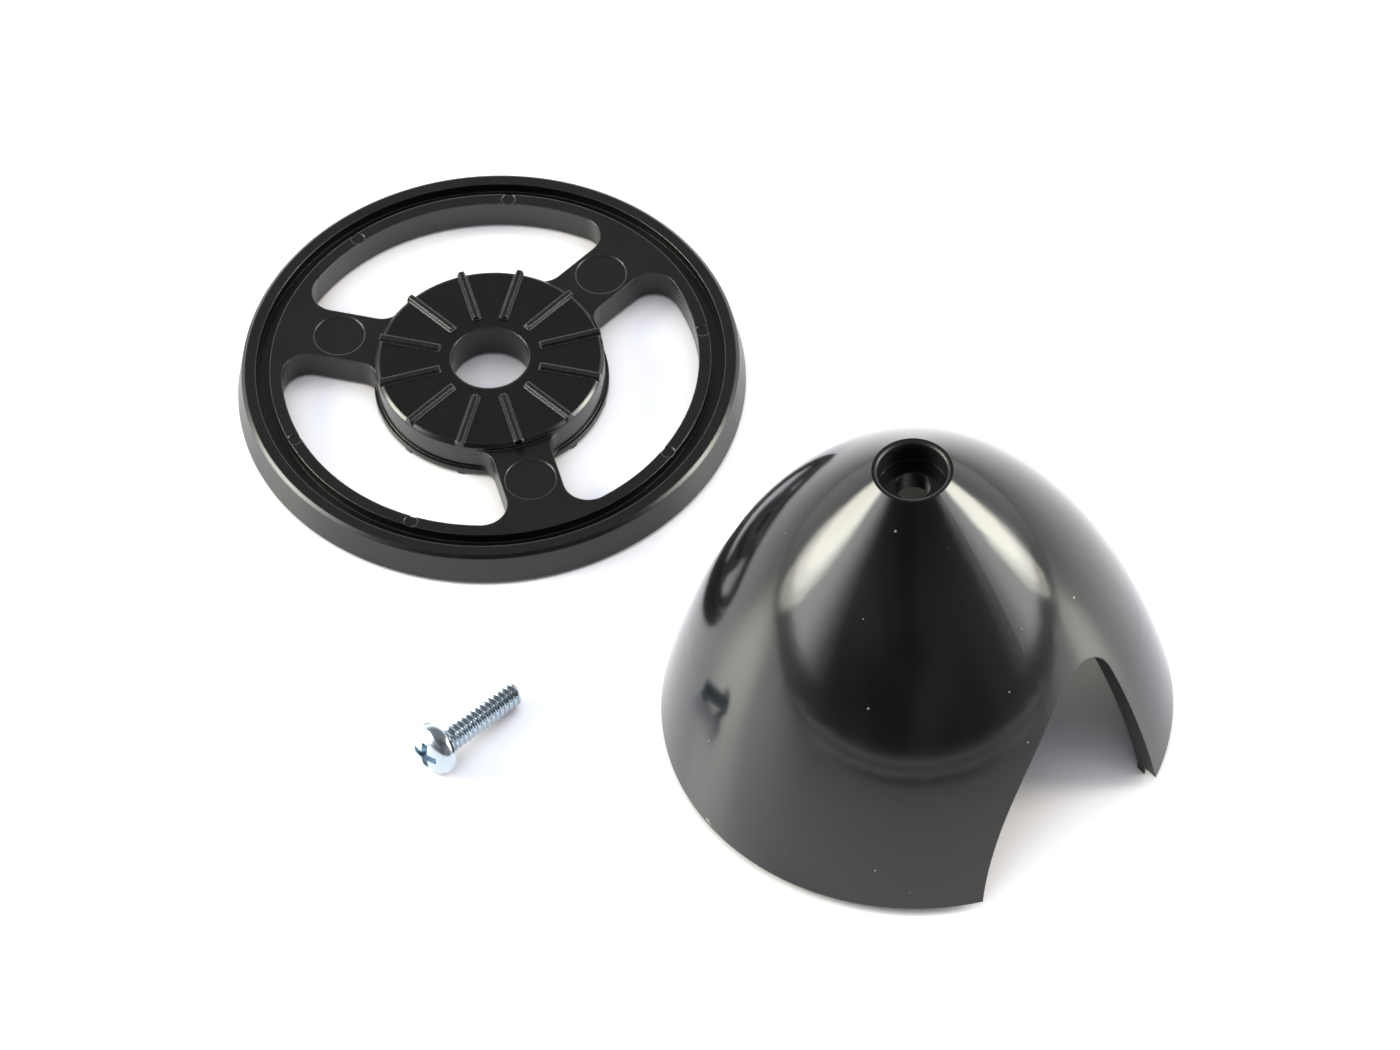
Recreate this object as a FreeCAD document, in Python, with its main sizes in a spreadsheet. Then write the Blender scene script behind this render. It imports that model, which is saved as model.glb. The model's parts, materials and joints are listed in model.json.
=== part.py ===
"""Two-blade propeller spinner, laid out as its three pieces on one surface.

Frame: millimetres, +Z up. The origin is the centre of the shaft bore at the rear
face of the backplate's hub. The backplate lies on its rear ribs, the spinner cone
stands on its seating lip and the nose screw lies on its head and its tip, so all
three touch the plane one rib height under the origin.
"""
import FreeCAD, Part
import math
import os

import Sketcher

PARTS_FOLDER = "parts"
SHEET = "sizes"

# Every driving size of the spinner: alias, value (mm or degrees) and what it is.
SIZES = [
    # Backplate
    ("plate_diameter", 51.9, "backplate at its rear edge"),
    ("plate_thickness", 3.3, "web, spokes and rim of the backplate"),
    ("rim_lean", 10.5, "inward lean of the rim toward the front"),
    ("rim_bevel", 0.3, "bevel on the front edge of the rim"),
    ("hub_diameter", 23.3, "raised hub of the backplate"),
    ("hub_height", 4.0, "hub between its rear and front faces"),
    ("hub_chamfer", 0.35, "chamfer round the front face of the hub"),
    ("foot_width", 0.35, "foot round the rear of the hub"),
    ("foot_height", 0.6, "foot from the rear face of the hub"),
    ("bore_diameter", 8.0, "bore for the engine's shaft"),
    ("rib_count", 12, "drive ribs on each face of the hub"),
    ("rib_width", 0.85, "drive rib at its foot"),
    ("rib_top", 0.5, "flat top of a drive rib"),
    ("rib_height", 0.4, "drive rib above the face of the hub"),
    ("rib_bore_gap", 1.3, "bare ring between the bore and the ribs"),
    ("rib_end_inset", 0.03, "end of a rib inside the side of the hub or its foot"),
    ("spoke_count", 3, "spokes between the hub and the rim"),
    ("spoke_width", 6.0, "spoke from side to side"),
    ("ring_width", 1.25, "ring between the windows and the lip groove"),
    ("window_hub_round", 2.2, "window corner beside the hub"),
    ("window_rim_round", 2.6, "window corner beside the rim"),
    ("spoke_mark_diameter", 5.2, "ejector mark on a spoke"),
    ("spoke_mark_radius", 16.0, "ejector mark on a spoke, from the axis"),
    ("ring_mark_diameter", 1.4, "ejector mark on the ring"),
    ("left_mark_angle", 23.9, "left ejector mark on the ring, from the middle of a window"),
    ("right_mark_angle", 19.6, "right ejector mark on the ring, from the middle of a window"),
    ("mark_depth", 0.12, "depth of the ejector marks"),
    # Spinner cone
    ("cone_step", 0.06, "cone inside the backplate's edge, all round"),
    ("cone_height", 36.4, "nose rim above the edge of the skin"),
    ("cone_wall", 2.3, "wall of the cone"),
    ("base_lean", 12.9, "inward lean of the skin at its edge"),
    ("shoulder_radius", 96.0, "lower arc of the cone's profile"),
    ("shoulder_end", 19.7, "lean of the skin where the nose arc starts"),
    ("skin_seat", 1.45, "edge of the skin that sits on the backplate"),
    ("lip_height", 1.05, "lip below the edge of the skin"),
    ("lip_clearance", 0.1, "groove outside the lip"),
    ("lip_slack", 0.4, "groove inside the lip"),
    ("groove_floor_gap", 0.15, "groove under the lip"),
    ("nose_rim", 0.57, "rim round the screw recess"),
    ("nose_rim_round", 0.4, "rounding of the rim into the recess"),
    ("nose_floor", 2.2, "material under the screw recess"),
    ("blade_count", 2, "blades, each with its own cut-out"),
    ("cutout_half_width", 11.3, "half of a blade cut-out at the edge of the skin"),
    ("cutout_height", 18.6, "crown of a blade cut-out above the edge of the skin"),
    ("crown_offset", 4.8, "crown of a blade cut-out beside the blade's axis"),
    ("crown_radius", 4.55, "rounding of the crown"),
    ("long_flank_radius", 28.5, "sloping flank of a blade cut-out"),
    ("steep_flank_radius", 100.0, "upright flank of a blade cut-out"),
    # Nose screw
    ("thread_diameter", 2.84, "outside diameter of the nose screw's thread"),
    ("screw_length", 10.65, "nose screw under its head"),
    ("tip_chamfer", 0.35, "chamfer at the tip of the screw"),
    ("head_diameter", 5.5, "head of the nose screw"),
    ("head_height", 2.0, "head of the nose screw"),
    ("head_edge", 0.55, "straight edge of the head under its dome"),
    ("recess_span", 3.0, "cross recess from end to end"),
    ("recess_arm", 0.8, "arm of the cross recess"),
    ("recess_depth", 1.25, "depth of the cross recess"),
    ("recess_taper", 8.0, "draft of the cross recess"),
    ("screw_hole_gap", 0.28, "hole in the nose round the thread"),
    ("head_gap", 0.6, "recess in the nose round the head"),
    ("head_sink", 0.5, "top of the head below the nose rim"),
    # Lay-out
    ("plate_turn", 43.3, "first spoke, from +X"),
    ("cone_gap", 9.04, "free space between the backplate and the cone"),
    ("cone_bearing", -47.16, "cone's axis, seen from the bore"),
    ("cone_turn", -52.0, "blade's axis through the cone, from +X"),
    ("screw_gap", 22.43, "backplate's edge to the screw's head"),
    ("screw_bearing", -97.6, "screw's head, seen from the bore"),
    ("screw_turn", 44.0, "tip of the screw, from +X"),
    ("screw_roll", -6.0, "cross recess about the screw's axis"),
]


def size(alias: str) -> str:
    """Return the expression that reads one size from the sheet."""
    return f"{SHEET}.{alias}"


def sizes_in(formula: str) -> str:
    """Return a formula with every alias in it read from the sheet."""
    words = {alias for alias, _, _ in SIZES}
    out, word = [], ""
    for letter in formula + " ":
        if letter.isalnum() or letter == "_":
            word += letter
            continue
        out.append(size(word) if word in words else word)
        out.append(letter)
        word = ""
    return "".join(out).strip()


# Derived sizes, each a formula over the sheet.
PLATE_RADIUS = "(plate_diameter / 2)"
FRONT_RADIUS = f"({PLATE_RADIUS} - plate_thickness * tan(rim_lean))"
BEVEL_FOOT = "(plate_thickness - rim_bevel)"
HUB_RADIUS = "(hub_diameter / 2)"
FOOT_RADIUS = f"({HUB_RADIUS} + foot_width)"
BORE_RADIUS = "(bore_diameter / 2)"
RIB_START = f"({BORE_RADIUS} + rib_bore_gap)"
FLOOR = "(-rib_height)"

CONE_RADIUS = f"({FRONT_RADIUS} - cone_step)"
SHOULDER_X = f"({CONE_RADIUS} - shoulder_radius * cos(base_lean))"
SHOULDER_Z = "(-shoulder_radius * sin(base_lean))"
JOIN_X = f"({SHOULDER_X} + shoulder_radius * cos(shoulder_end))"
JOIN_Z = f"({SHOULDER_Z} + shoulder_radius * sin(shoulder_end))"
INNER_SHOULDER = "(shoulder_radius - cone_wall)"
LIP_INSIDE = f"({SHOULDER_X} + sqrt({INNER_SHOULDER} ^ 2 - {SHOULDER_Z} ^ 2))"
LIP_OUTSIDE = f"({CONE_RADIUS} - skin_seat)"
RECESS_RADIUS = "(head_diameter / 2 + head_gap)"
RECESS_FLOOR = "(cone_height - head_height - head_sink)"
NOSE_CEILING = f"({RECESS_FLOOR} - nose_floor)"
NOSE_RADIUS = f"({RECESS_RADIUS} + nose_rim)"
NOSE_HOLE = "(thread_diameter / 2 + screw_hole_gap)"
CUTOUT_FOOT = "(-lip_height * 2)"

GROOVE_OUTSIDE = f"({LIP_OUTSIDE} + lip_clearance)"
GROOVE_INSIDE = f"({LIP_INSIDE} - lip_slack)"
GROOVE_FLOOR = "(plate_thickness - lip_height - groove_floor_gap)"
WINDOW_RADIUS = f"({GROOVE_INSIDE} - ring_width)"
RING_MARK_RADIUS = f"({WINDOW_RADIUS} + ring_width / 2)"

HEAD_RADIUS = "(head_diameter / 2)"
THREAD_RADIUS = "(thread_diameter / 2)"
DOME_RISE = "(head_height - head_edge)"
DOME_RADIUS = f"(({HEAD_RADIUS} ^ 2 + {DOME_RISE} ^ 2) / (2 * {DOME_RISE}))"


class Document:
    """The FreeCAD document with its sheet of sizes."""

    def __init__(self) -> None:
        self.doc = FreeCAD.newDocument("propeller_spinner")
        self.sheet = self.doc.addObject("Spreadsheet::Sheet", SHEET)
        for row, (alias, value, note) in enumerate(SIZES, start=1):
            self.sheet.set(f"A{row}", str(value))
            self.sheet.set(f"B{row}", note)
            self.sheet.setAlias(f"A{row}", alias)
        self.doc.recompute()

    def value(self, formula: str) -> float:
        """Return what a formula over the sizes comes to now."""
        result = self.sheet.evalExpression(sizes_in(formula).replace(f"{SHEET}.", ""))
        return float(getattr(result, "Value", result))

    def body(self, name: str):
        """Add an empty body whose label names its file."""
        body = self.doc.addObject("PartDesign::Body", name)
        body.Label = name
        return body

    def sketch(self, body, name: str, role: str, offset: str = "0"):
        """Add a sketch on one of the body's own origin planes, moved along its normal."""
        sketch = body.newObject("Sketcher::SketchObject", name)
        plane = next(f for f in body.Origin.OriginFeatures if f.Role == role)
        sketch.AttachmentSupport = [(plane, "")]
        sketch.MapMode = "FlatFace"
        if offset != "0":
            sketch.setExpression("AttachmentOffset.Base.z", sizes_in(offset))
        return sketch

    def axis(self, body, role: str):
        """Return one of the body's own origin axes, as a feature's reference."""
        return (next(f for f in body.Origin.OriginFeatures if f.Role == role), [""])


class Outline:
    """Draws outlines in a sketch and holds them with constraints bound to the sheet."""

    ORIGIN = (-1, 1)
    UPRIGHT_THEN_LEVEL = (-2, -1)

    def __init__(self, document: Document, sketch) -> None:
        self.document = document
        self.sketch = sketch

    def bind(self, constraint, formula: str) -> None:
        """Add a constraint whose value follows a formula."""
        index = self.sketch.addConstraint(constraint)
        self.sketch.setExpression(f"Constraints[{index}]", sizes_in(formula))

    def place(self, geometry: int, point: int, x: str, y: str) -> None:
        """Fix a point of the geometry at two formulas."""
        for kind, formula, axis in zip(("DistanceX", "DistanceY"), (x, y), self.UPRIGHT_THEN_LEVEL):
            if formula == "0":
                self.sketch.addConstraint(Sketcher.Constraint("PointOnObject", geometry, point, axis))
            else:
                amount = self.document.value(formula)
                self.bind(Sketcher.Constraint(kind, *self.ORIGIN, geometry, point, amount), formula)

    def line(self, start, end) -> int:
        """Add a line between two points."""
        return self.sketch.addGeometry(Part.LineSegment(start, end), False)

    def arc(self, start, end, centre) -> tuple:
        """Add the shorter arc between two points and return it with its two end numbers."""
        first = math.atan2(start.y - centre.y, start.x - centre.x)
        last = math.atan2(end.y - centre.y, end.x - centre.x)
        turn = (last - first) % (2 * math.pi)
        forward = turn <= math.pi
        low, high = (first, last) if forward else (last, first)
        circle = Part.Circle(centre, FreeCAD.Vector(0, 0, 1), (start - centre).Length)
        geometry = self.sketch.addGeometry(Part.ArcOfCircle(circle, low, high), False)
        return (geometry, 1, 2) if forward else (geometry, 2, 1)

    def join(self, joint: str, first: tuple, second: tuple) -> None:
        """Join the end of one piece of outline to the start of the next."""
        self.sketch.addConstraint(Sketcher.Constraint(joint, first[0], first[2], second[0], second[1]))

    def circle(self, x: str, y: str, radius: str) -> None:
        """Add a circle at two formulas."""
        value = self.document.value
        centre = FreeCAD.Vector(value(x), value(y), 0)
        circle = Part.Circle(centre, FreeCAD.Vector(0, 0, 1), value(radius))
        geometry = self.sketch.addGeometry(circle, False)
        self.place(geometry, 3, x, y)
        self.bind(Sketcher.Constraint("Radius", geometry, value(radius)), radius)

    def polygon(self, corners: list) -> None:
        """Add a closed outline of lines through corners given as pairs of formulas."""
        value = self.document.value
        points = [FreeCAD.Vector(value(x), value(y), 0) for x, y in corners]
        lines = []
        for index, start in enumerate(points):
            geometry = self.line(start, points[(index + 1) % len(points)])
            lines.append((geometry, 1, 2))
            self.place(geometry, 1, *corners[index])
        for index, piece in enumerate(lines):
            self.join("Coincident", piece, lines[(index + 1) % len(lines)])


def circles_meet(centre_a, radius_a: float, centre_b, radius_b: float, side: float):
    """Return the meeting point of two circles on one side of the line through their centres."""
    between = centre_b - centre_a
    distance = between.Length
    along = (radius_a ** 2 - radius_b ** 2 + distance ** 2) / (2 * distance)
    across = math.sqrt(radius_a ** 2 - along ** 2)
    normal = FreeCAD.Vector(-between.y, between.x, 0).normalize()
    return centre_a + between / distance * along + normal * across * side


# Backplate ---------------------------------------------------------------------

def web_and_rim(document: Document, body) -> None:
    """Turn the flat web with its lip groove and the leaning, bevelled rim."""
    outline = Outline(document, document.sketch(body, "web_section", "XZ_Plane"))
    outline.polygon([
        (BORE_RADIUS, "0"),
        (PLATE_RADIUS, "0"),
        (f"{PLATE_RADIUS} - {BEVEL_FOOT} * tan(rim_lean)", BEVEL_FOOT),
        (f"{FRONT_RADIUS} - rim_bevel", "plate_thickness"),
        (GROOVE_OUTSIDE, "plate_thickness"),
        (GROOVE_OUTSIDE, GROOVE_FLOOR),
        (GROOVE_INSIDE, GROOVE_FLOOR),
        (GROOVE_INSIDE, "plate_thickness"),
        (BORE_RADIUS, "plate_thickness"),
    ])
    revolve(document, body, "web_and_rim", outline.sketch)


def hub(document: Document, body) -> None:
    """Turn the raised hub with the chamfer on its front and the foot at its rear."""
    outline = Outline(document, document.sketch(body, "hub_section", "XZ_Plane"))
    outline.polygon([
        (BORE_RADIUS, "0"),
        (FOOT_RADIUS, "0"),
        (FOOT_RADIUS, "foot_height"),
        (HUB_RADIUS, "foot_height"),
        (HUB_RADIUS, "hub_height - hub_chamfer"),
        (f"{HUB_RADIUS} - hub_chamfer", "hub_height"),
        (BORE_RADIUS, "hub_height"),
    ])
    revolve(document, body, "hub", outline.sketch)


def revolve(document: Document, body, name: str, sketch) -> None:
    """Turn a sketch all the way round the body's Z axis."""
    feature = body.newObject("PartDesign::Revolution", name)
    feature.Profile = sketch
    feature.ReferenceAxis = document.axis(body, "Z_Axis")
    feature.Angle = 360
    document.doc.recompute()


def repeat(document: Document, body, name: str, feature, count: str) -> None:
    """Repeat a feature evenly round the body's Z axis."""
    pattern = body.newObject("PartDesign::PolarPattern", name)
    pattern.Originals = [feature]
    pattern.Axis = document.axis(body, "Z_Axis")
    pattern.Angle = 360
    pattern.setExpression("Occurrences", sizes_in(count))
    body.Tip = pattern
    document.doc.recompute()


def drive_ribs(document: Document, body, name: str, face: str, outward: str, edge: str) -> None:
    """Raise the ring of tapered ribs on one face of the hub, out to the edge of that face."""
    outline = Outline(document, document.sketch(body, f"{name}_section", "YZ_Plane", RIB_START))
    foot = f"{face} - {outward} * hub_chamfer"
    crest = f"{face} + {outward} * rib_height"
    outline.polygon([
        ("-rib_width / 2", foot),
        ("rib_width / 2", foot),
        ("rib_width / 2", face),
        ("rib_top / 2", crest),
        ("-rib_top / 2", crest),
        ("-rib_width / 2", face),
    ])
    rib = body.newObject("PartDesign::Pad", name)
    rib.Profile = outline.sketch
    rib.setExpression("Length", sizes_in(f"{edge} - rib_end_inset - {RIB_START}"))
    document.doc.recompute()
    repeat(document, body, f"{name}_ring", rib, "rib_count")


def through_pocket(document: Document, body, name: str, sketch):
    """Cut a sketch all the way through the body, toward its plane's own normal."""
    before = body.Shape.Volume
    pocket = body.newObject("PartDesign::Pocket", name)
    pocket.Profile = sketch
    pocket.Type = "ThroughAll"
    pocket.Reversed = True
    document.doc.recompute()
    check_cut(name, before, body.Shape.Volume)
    return pocket


def check_cut(name: str, before: float, after: float) -> None:
    """Stop if a cut has taken nothing away."""
    if after >= before:
        raise RuntimeError(f"{name} cuts nothing")


def kidney_windows(document: Document, body) -> None:
    """Cut the round-cornered windows between the spokes."""
    value = document.value
    outline = Outline(document, document.sketch(body, "window_outline", "XY_Plane"))
    sketch = outline.sketch
    half_turn = math.radians(value("180 / spoke_count"))
    hub, rim, half_spoke = value(HUB_RADIUS), value(WINDOW_RADIUS), value("spoke_width / 2")
    origin = FreeCAD.Vector(0, 0, 0)

    def corner(radius: float, round_radius: float, outer: bool, side: int) -> tuple:
        """Return the touching points and centre of a corner between a ring and a spoke."""
        along = FreeCAD.Vector(math.cos(half_turn), side * math.sin(half_turn), 0)
        across = FreeCAD.Vector(math.sin(half_turn), -side * math.cos(half_turn), 0)
        reach = radius - round_radius if outer else radius + round_radius
        offset = half_spoke + round_radius
        centre = across * offset + along * math.sqrt(reach ** 2 - offset ** 2)
        return centre * (radius / reach), centre - across * round_radius, centre

    hub_round, rim_round = value("window_hub_round"), value("window_rim_round")
    low_hub = corner(hub, hub_round, False, -1)
    high_hub = corner(hub, hub_round, False, 1)
    low_rim = corner(rim, rim_round, True, -1)
    high_rim = corner(rim, rim_round, True, 1)
    pieces = [
        outline.arc(high_hub[0], low_hub[0], origin),
        outline.arc(low_hub[0], low_hub[1], low_hub[2]),
        (outline.line(low_hub[1], low_rim[1]), 1, 2),
        outline.arc(low_rim[1], low_rim[0], low_rim[2]),
        outline.arc(low_rim[0], high_rim[0], origin),
        outline.arc(high_rim[0], high_rim[1], high_rim[2]),
        (outline.line(high_rim[1], high_hub[1]), 1, 2),
        outline.arc(high_hub[1], high_hub[0], high_hub[2]),
    ]
    for index, piece in enumerate(pieces):
        outline.join("Tangent", piece, pieces[(index + 1) % len(pieces)])
    for index, formula in ((0, HUB_RADIUS), (4, WINDOW_RADIUS)):
        sketch.addConstraint(Sketcher.Constraint("Coincident", pieces[index][0], 3, *Outline.ORIGIN))
        outline.bind(Sketcher.Constraint("Radius", pieces[index][0], value(formula)), formula)
    for index, formula in ((1, "window_hub_round"), (3, "window_rim_round"),
                           (5, "window_rim_round"), (7, "window_hub_round")):
        outline.bind(Sketcher.Constraint("Radius", pieces[index][0], value(formula)), formula)
    for index, turn in ((2, "-180 / spoke_count"), (6, "180 / spoke_count + 180")):
        line = pieces[index][0]
        outline.bind(Sketcher.Constraint("Angle", line, math.radians(value(turn))), f"({turn}) * 1 deg")
        outline.bind(Sketcher.Constraint("Distance", *Outline.ORIGIN, line, half_spoke), "spoke_width / 2")
    window = through_pocket(document, body, "window", sketch)
    repeat(document, body, "windows", window, "spoke_count")


def ejector_marks(document: Document, body) -> None:
    """Press the shallow ejector marks into the spokes and the ring."""
    marks = (
        ("spoke_mark", "spoke_mark_radius", "180 / spoke_count", "spoke_mark_diameter / 2"),
        ("left_ring_mark", RING_MARK_RADIUS, "left_mark_angle", "ring_mark_diameter / 2"),
        ("right_ring_mark", RING_MARK_RADIUS, "-right_mark_angle", "ring_mark_diameter / 2"),
    )
    for name, distance, angle, radius in marks:
        sketch = document.sketch(body, f"{name}_outline", "XY_Plane", "plate_thickness")
        Outline(document, sketch).circle(f"{distance} * cos({angle})", f"{distance} * sin({angle})", radius)
        before = body.Shape.Volume
        mark = body.newObject("PartDesign::Pocket", name)
        mark.Profile = sketch
        mark.setExpression("Length", size("mark_depth"))
        document.doc.recompute()
        check_cut(name, before, body.Shape.Volume)
        repeat(document, body, f"{name}s", mark, "spoke_count")


def make_backplate(document: Document):
    """Make the moulded backplate, with a window's middle on its own +X."""
    body = document.body("backplate")
    web_and_rim(document, body)
    kidney_windows(document, body)
    hub(document, body)
    drive_ribs(document, body, "front_rib", "hub_height", "1", HUB_RADIUS)
    drive_ribs(document, body, "rear_rib", "0", "-1", FOOT_RADIUS)
    ejector_marks(document, body)
    turn = sizes_in("plate_turn - 180 / spoke_count")
    body.setExpression("Placement", f"placement(vector(0; 0; 0); rotationz({turn}))")
    return body


# Spinner cone ------------------------------------------------------------------

def cone_section(document: Document, body) -> None:
    """Turn the shell: lip, skin of two tangent arcs, nose recess and screw hole."""
    value = document.value
    outline = Outline(document, document.sketch(body, "shell_section", "XZ_Plane"))
    sketch = outline.sketch

    def point(x: str, y: str):
        """Return a point at two formulas."""
        return FreeCAD.Vector(value(x), value(y), 0)

    skin_edge = (CONE_RADIUS, "0")
    skin_join = (JOIN_X, JOIN_Z)
    nose_edge = (NOSE_RADIUS, "cone_height")
    inner_join = (f"{JOIN_X} - cone_wall * cos(shoulder_end)", f"{JOIN_Z} - cone_wall * sin(shoulder_end)")
    lip_root = (LIP_INSIDE, "0")
    rim_start = (f"{RECESS_RADIUS} + nose_rim_round", "cone_height")
    rim_end = (RECESS_RADIUS, "cone_height - nose_rim_round")
    rim_centre = point(rim_start[0], rim_end[1])

    shoulder_centre = point(SHOULDER_X, SHOULDER_Z)
    nose_centre = tangent_centre(point(*skin_join), shoulder_centre, point(*nose_edge))
    nose_inner = (point(*skin_join) - nose_centre).Length - value("cone_wall")
    rise = value(NOSE_CEILING) - nose_centre.y
    ceiling = FreeCAD.Vector(nose_centre.x + math.sqrt(nose_inner ** 2 - rise ** 2), value(NOSE_CEILING), 0)

    skin_shoulder = outline.arc(point(*skin_edge), point(*skin_join), shoulder_centre)
    skin_nose = outline.arc(point(*skin_join), point(*nose_edge), nose_centre)
    inner_nose = outline.arc(ceiling, point(*inner_join), nose_centre)
    inner_shoulder = outline.arc(point(*inner_join), point(*lip_root), shoulder_centre)
    rim_round = outline.arc(point(*rim_start), point(*rim_end), rim_centre)

    outline.place(skin_shoulder[0], skin_shoulder[1], *skin_edge)
    outline.place(skin_nose[0], skin_nose[1], *skin_join)
    outline.place(skin_nose[0], skin_nose[2], *nose_edge)
    outline.bind(Sketcher.Constraint("Radius", skin_shoulder[0], value("shoulder_radius")), "shoulder_radius")
    outline.join("Tangent", skin_shoulder, skin_nose)
    outline.place(inner_shoulder[0], inner_shoulder[1], *inner_join)
    outline.place(inner_shoulder[0], inner_shoulder[2], *lip_root)
    outline.bind(Sketcher.Constraint("Radius", inner_shoulder[0], value(INNER_SHOULDER)), INNER_SHOULDER)
    outline.join("Coincident", inner_nose, inner_shoulder)
    sketch.addConstraint(Sketcher.Constraint("Coincident", inner_nose[0], 3, skin_nose[0], 3))
    outline.place(rim_round[0], rim_round[1], *rim_start)
    outline.place(rim_round[0], rim_round[2], *rim_end)
    outline.bind(Sketcher.Constraint("Radius", rim_round[0], value("nose_rim_round")), "nose_rim_round")

    recess_corners = [(RECESS_RADIUS, RECESS_FLOOR), (NOSE_HOLE, RECESS_FLOOR), (NOSE_HOLE, NOSE_CEILING)]
    lip_corners = [(LIP_INSIDE, "-lip_height"), (LIP_OUTSIDE, "-lip_height"), (LIP_OUTSIDE, "0")]
    chain(outline, skin_nose, [], rim_round)
    chain(outline, rim_round, recess_corners, inner_nose, level_end=True)
    chain(outline, inner_shoulder, lip_corners, skin_shoulder)
    revolve(document, body, "shell", sketch)


def tangent_centre(joint, joint_centre, end):
    """Return the centre of the arc that leaves another arc tangentially at a joint and ends at a point."""
    toward = (joint_centre - joint).normalize()
    chord = end - joint
    return joint + toward * (chord.Length ** 2 / (2 * chord.dot(toward)))


def chain(outline: Outline, before: tuple, corners: list, after: tuple, level_end: bool = False) -> None:
    """Draw lines through corners between two pieces of outline, the last one level if asked."""
    sketch = outline.sketch
    value = outline.document.value
    start = sketch.getPoint(before[0], before[2])
    previous = before
    for x, y in corners:
        end = FreeCAD.Vector(value(x), value(y), 0)
        piece = (outline.line(start, end), 1, 2)
        outline.join("Coincident", previous, piece)
        outline.place(piece[0], 2, x, y)
        start, previous = end, piece
    piece = (outline.line(start, sketch.getPoint(after[0], after[1])), 1, 2)
    outline.join("Coincident", previous, piece)
    outline.join("Coincident", piece, after)
    if level_end:
        sketch.addConstraint(Sketcher.Constraint("Horizontal", piece[0]))


def blade_cutouts(document: Document, body) -> None:
    """Cut the two slanted openings that the propeller's blades pass through."""
    value = document.value
    outline = Outline(document, document.sketch(body, "cutout_outline", "YZ_Plane"))
    sketch = outline.sketch
    half, radius = value("cutout_half_width"), value("crown_radius")
    crown = ("crown_offset", "cutout_height - crown_radius")
    crown_centre = FreeCAD.Vector(value(crown[0]), value(crown[1]), 0)
    low = FreeCAD.Vector(-half, 0, 0)
    high = FreeCAD.Vector(half, 0, 0)

    def flank(end, flank_radius: float, side: float) -> tuple:
        """Return the centre of a flank and the point where it meets the crown."""
        centre = circles_meet(crown_centre, flank_radius - radius, end, flank_radius, side)
        return centre, crown_centre + (crown_centre - centre).normalize() * radius

    long_centre, long_top = flank(low, value("long_flank_radius"), 1)
    steep_centre, steep_top = flank(high, value("steep_flank_radius"), -1)
    long_flank = outline.arc(low, long_top, long_centre)
    crown_arc = outline.arc(long_top, steep_top, crown_centre)
    steep_flank = outline.arc(steep_top, high, steep_centre)
    outline.place(long_flank[0], long_flank[1], "-cutout_half_width", "0")
    outline.place(steep_flank[0], steep_flank[2], "cutout_half_width", "0")
    outline.place(crown_arc[0], 3, *crown)
    for piece, formula in ((long_flank, "long_flank_radius"), (crown_arc, "crown_radius"),
                           (steep_flank, "steep_flank_radius")):
        outline.bind(Sketcher.Constraint("Radius", piece[0], value(formula)), formula)
    outline.join("Tangent", long_flank, crown_arc)
    outline.join("Tangent", crown_arc, steep_flank)
    chain(outline, steep_flank, [("cutout_half_width", CUTOUT_FOOT),
                                 ("-cutout_half_width", CUTOUT_FOOT)], long_flank)
    cutout = through_pocket(document, body, "blade_cutout", sketch)
    repeat(document, body, "blade_cutouts", cutout, "blade_count")


def make_spinner_cone(document: Document):
    """Make the cone, with the edge of its skin on its own XY plane."""
    body = document.body("spinner_cone")
    cone_section(document, body)
    blade_cutouts(document, body)
    reach = sizes_in(f"({PLATE_RADIUS} + cone_gap + {CONE_RADIUS})")
    bearing = size("cone_bearing")
    height = sizes_in(f"{FLOOR} + lip_height")
    spot = f"vector({reach} * cos({bearing}); {reach} * sin({bearing}); {height})"
    body.setExpression("Placement", f"placement({spot}; rotationz({size('cone_turn')}))")
    return body


# Nose screw --------------------------------------------------------------------

def screw_section(document: Document, body) -> None:
    """Turn the domed head and the shank, with the head's seat on the XY plane."""
    value = document.value
    outline = Outline(document, document.sketch(body, "screw_section", "XZ_Plane"))
    edge = FreeCAD.Vector(value(HEAD_RADIUS), value("-head_edge"), 0)
    top = FreeCAD.Vector(0, value("-head_height"), 0)
    centre = FreeCAD.Vector(0, value(f"{DOME_RADIUS} - head_height"), 0)
    dome = outline.arc(top, edge, centre)
    outline.place(dome[0], dome[1], "0", "-head_height")
    outline.place(dome[0], dome[2], HEAD_RADIUS, "-head_edge")
    outline.bind(Sketcher.Constraint("Radius", dome[0], value(DOME_RADIUS)), DOME_RADIUS)
    chain(outline, dome, [
        (HEAD_RADIUS, "0"),
        (THREAD_RADIUS, "0"),
        (THREAD_RADIUS, "screw_length - tip_chamfer"),
        (f"{THREAD_RADIUS} - tip_chamfer", "screw_length"),
        ("0", "screw_length"),
    ], dome)
    revolve(document, body, "head_and_shank", outline.sketch)


def cross_recess(document: Document, body) -> None:
    """Press the tapered cross recess into the top of the head."""
    outline = Outline(document, document.sketch(body, "recess_outline", "XY_Plane", "-head_height"))
    arm, span = "recess_arm / 2", "recess_span / 2"
    outline.polygon([
        (span, f"-{arm}"), (span, arm), (arm, arm), (arm, span),
        (f"-{arm}", span), (f"-{arm}", arm), (f"-{span}", arm), (f"-{span}", f"-{arm}"),
        (f"-{arm}", f"-{arm}"), (f"-{arm}", f"-{span}"), (arm, f"-{span}"), (arm, f"-{arm}"),
    ])
    before = body.Shape.Volume
    recess = body.newObject("PartDesign::Pocket", "cross_recess")
    recess.Profile = outline.sketch
    recess.setExpression("Length", size("recess_depth"))
    recess.setExpression("TaperAngle", sizes_in("-recess_taper * 1 deg"))
    recess.Reversed = True
    document.doc.recompute()
    check_cut("cross_recess", before, body.Shape.Volume)


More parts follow.
